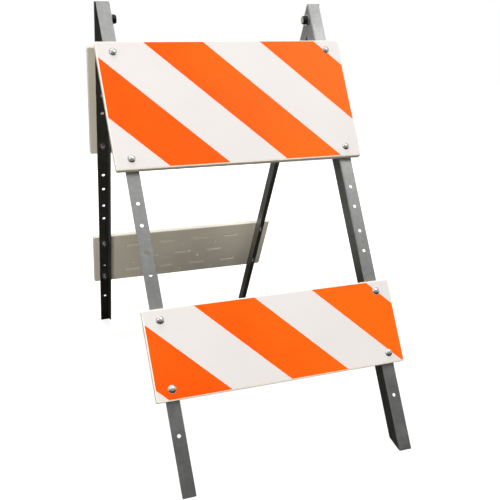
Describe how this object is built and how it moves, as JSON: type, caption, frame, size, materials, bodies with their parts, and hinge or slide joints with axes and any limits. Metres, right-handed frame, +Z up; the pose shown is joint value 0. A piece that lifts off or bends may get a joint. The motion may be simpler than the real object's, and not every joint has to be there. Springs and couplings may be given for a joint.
{
  "type": "folding barricade",
  "caption": "Folding A-frame traffic barricade with striped boards bolted to hinged angle-steel leg frames.",
  "frame": {"origin": "on the ground, midway between the four feet, below the middle of the pivot line", "axes": "+X right when facing the front boards, along the pivot line; -Y out of the front; +Z up"},
  "size_m": [0.6096, 1.1638, 0.9848],
  "materials": {
    "galvanised_leg": "dull galvanised sheet steel",
    "white_board": "satin blow-moulded polyethylene",
    "white_sheeting": "smooth retroreflective film",
    "orange_sheeting": "smooth retroreflective film",
    "zinc_fastener": "bright zinc plate",
    "dark_lock_nut": "black oxide",
    "pivot_spacer": "natural nylon"
  },
  "bodies": {
    "front_frame": {"front_left_leg": "galvanised_leg", "front_right_leg": "galvanised_leg", "front_upper_board": "white_board", "front_upper_sheeting": "white_sheeting", "front_upper_stripes": "orange_sheeting", "front_upper_bolts": "zinc_fastener", "front_upper_washers": "zinc_fastener", "front_upper_nuts": "zinc_fastener", "front_lower_board": "white_board", "front_lower_sheeting": "white_sheeting", "front_lower_stripes": "orange_sheeting", "front_lower_bolts": "zinc_fastener", "front_lower_washers": "zinc_fastener", "front_lower_nuts": "zinc_fastener", "left_pivot_bolt": "zinc_fastener", "left_pivot_nut": "dark_lock_nut", "left_pivot_inner_washer": "zinc_fastener", "left_pivot_outer_washer": "zinc_fastener", "left_pivot_spacer": "pivot_spacer", "right_pivot_bolt": "zinc_fastener", "right_pivot_nut": "dark_lock_nut", "right_pivot_inner_washer": "zinc_fastener", "right_pivot_outer_washer": "zinc_fastener", "right_pivot_spacer": "pivot_spacer"},
    "rear_frame": {"rear_left_leg": "galvanised_leg", "rear_right_leg": "galvanised_leg", "rear_upper_board": "white_board", "rear_upper_sheeting": "white_sheeting", "rear_upper_stripes": "orange_sheeting", "rear_upper_bolts": "zinc_fastener", "rear_upper_washers": "zinc_fastener", "rear_upper_nuts": "zinc_fastener", "rear_lower_board": "white_board", "rear_lower_sheeting": "white_sheeting", "rear_lower_stripes": "orange_sheeting", "rear_lower_bolts": "zinc_fastener", "rear_lower_washers": "zinc_fastener", "rear_lower_nuts": "zinc_fastener"}
  },
  "joints": [
    {"name": "fold", "type": "hinge", "parent": "front_frame", "child": "rear_frame", "pos_m": [0, 0, 0.94847], "axis": [-1, 0, 0], "range_deg": [0, 61]}
  ]
}
